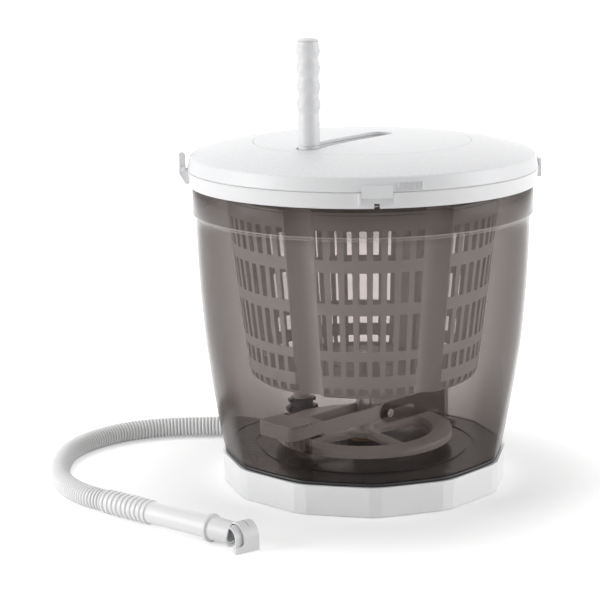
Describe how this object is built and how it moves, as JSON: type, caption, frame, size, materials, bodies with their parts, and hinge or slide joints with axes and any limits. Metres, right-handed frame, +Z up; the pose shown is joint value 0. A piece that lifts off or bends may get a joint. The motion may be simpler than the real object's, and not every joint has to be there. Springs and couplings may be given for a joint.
{
  "type": "hand-cranked laundry spin dryer",
  "caption": "Table-top spin dryer: smoked tub on a many-sided plinth, slotted lobed basket turned by a geared crank lid, pedal, latch and drain hose.",
  "frame": {"origin": "on the floor, on the axis of basket and crank", "axes": "+Z up along the basket's axis, the front catch towards -Y, the latch lever towards -X"},
  "size_m": [0.5173, 0.4287, 0.4685],
  "materials": {
    "off_white_shell": "fine sandy satin",
    "pale_moulding": "smooth satin",
    "smoked_clear": "clear smoked, glossy",
    "dark_floor": "smooth",
    "dark_fitting": "smooth",
    "black_seal": "matte",
    "rubber_foot": "matte",
    "gear_plastic": "smooth nylon",
    "hose_grey": "soft ribbed",
    "bearing_bronze": "sintered",
    "bright_steel": "plain"
  },
  "bodies": {
    "casing": {"plinth": "off_white_shell", "rubber_ring": "rubber_foot", "plinth_screws": "bright_steel", "floor_plate": "dark_floor", "foot_seal": "black_seal", "tub": "smoked_clear", "collar": "off_white_shell", "latch_pin": "bright_steel", "drain_fitting": "dark_fitting", "drain_stem": "pale_moulding", "drain_outlet": "dark_fitting", "spindle_bearing": "bearing_bronze", "pedal_guide": "smoked_clear", "pedal_bracket": "smoked_clear", "bracket_screws": "bright_steel", "pivot_pin": "bright_steel", "pivot_nut": "bright_steel", "drain_hose": "hose_grey", "hose_clamp": "bright_steel", "hose_cuff": "hose_grey", "cuff_ring": "off_white_shell", "end_tube": "off_white_shell", "hose_hook": "off_white_shell"},
    "latch": {"latch_lever": "off_white_shell"},
    "pedal": {"pedal_lever": "pale_moulding", "brake_shoe": "rubber_foot"},
    "rotor": {"spindle": "bright_steel", "brake_wheel": "pale_moulding", "basket": "pale_moulding", "basket_nut": "bright_steel"},
    "lid": {"lid_shell": "off_white_shell", "gear_deck": "pale_moulding", "deck_screws": "bright_steel", "planet_screws": "bright_steel"},
    "sun": {"sun_gear": "gear_plastic", "sun_clip": "bright_steel", "basket_cover": "pale_moulding", "cover_screw": "bright_steel"},
    "planet_a": {"planet_gear_a": "gear_plastic"},
    "planet_b": {"planet_gear_b": "gear_plastic"},
    "planet_c": {"planet_gear_c": "gear_plastic"},
    "crank": {"crank_plate": "off_white_shell", "ring_gear": "gear_plastic", "ring_screws": "bright_steel", "hinge_pin": "bright_steel"},
    "arm": {"grip_arm": "off_white_shell", "grip_cap": "off_white_shell"},
    "grip": {"grip_sleeve": "off_white_shell"}
  },
  "joints": [
    {"name": "lid_lift", "type": "slide", "parent": "casing", "child": "lid", "axis": [0, 0, 1], "range_m": [0, 0.12]},
    {"name": "crank_turn", "type": "hinge", "parent": "lid", "child": "crank", "pos_m": [0, 0, 0.35], "axis": [0, 0, 1], "continuous": true},
    {"name": "grip_fold", "type": "hinge", "parent": "crank", "child": "arm", "pos_m": [-0.05794, -0.06808, 0.34954], "axis": [-0.7615, 0.6481, 0], "range_deg": [0, 88]},
    {"name": "grip_spin", "type": "hinge", "parent": "arm", "child": "grip", "pos_m": [-0.05794, -0.06808, 0.34954], "axis": [0, 0, 1], "continuous": true},
    {"name": "planet_a_turn", "type": "hinge", "parent": "lid", "child": "planet_a", "pos_m": [0, 0.0495, 0.325], "axis": [0, 0, 1], "continuous": true},
    {"name": "planet_b_turn", "type": "hinge", "parent": "lid", "child": "planet_b", "pos_m": [-0.04287, -0.02475, 0.325], "axis": [0, 0, 1], "continuous": true},
    {"name": "planet_c_turn", "type": "hinge", "parent": "lid", "child": "planet_c", "pos_m": [0.04287, -0.02475, 0.325], "axis": [0, 0, 1], "continuous": true},
    {"name": "sun_turn", "type": "hinge", "parent": "lid", "child": "sun", "pos_m": [0, 0, 0.325], "axis": [0, 0, 1], "continuous": true},
    {"name": "basket_spin", "type": "hinge", "parent": "casing", "child": "rotor", "pos_m": [0, 0, 0.1], "axis": [0, 0, 1], "continuous": true},
    {"name": "pedal_press", "type": "hinge", "parent": "casing", "child": "pedal", "pos_m": [0.01375, 0.00872, 0.0683], "axis": [0.682, -0.7314, 0], "range_deg": [0, 4], "stiffness_Nm_per_rad": 1.5, "springref_deg": -11.46},
    {"name": "latch_turn", "type": "hinge", "parent": "casing", "child": "latch", "pos_m": [-0.1846, 0, 0.3321], "axis": [0, -1, 0], "range_deg": [0, 100]}
  ],
  "couplings": [
    {"joint": "planet_a_turn", "follows": "crank_turn", "ratio": 3},
    {"joint": "planet_b_turn", "follows": "crank_turn", "ratio": 3},
    {"joint": "planet_c_turn", "follows": "crank_turn", "ratio": 3},
    {"joint": "sun_turn", "follows": "crank_turn", "ratio": -3},
    {"joint": "basket_spin", "follows": "crank_turn", "ratio": -3}
  ]
}
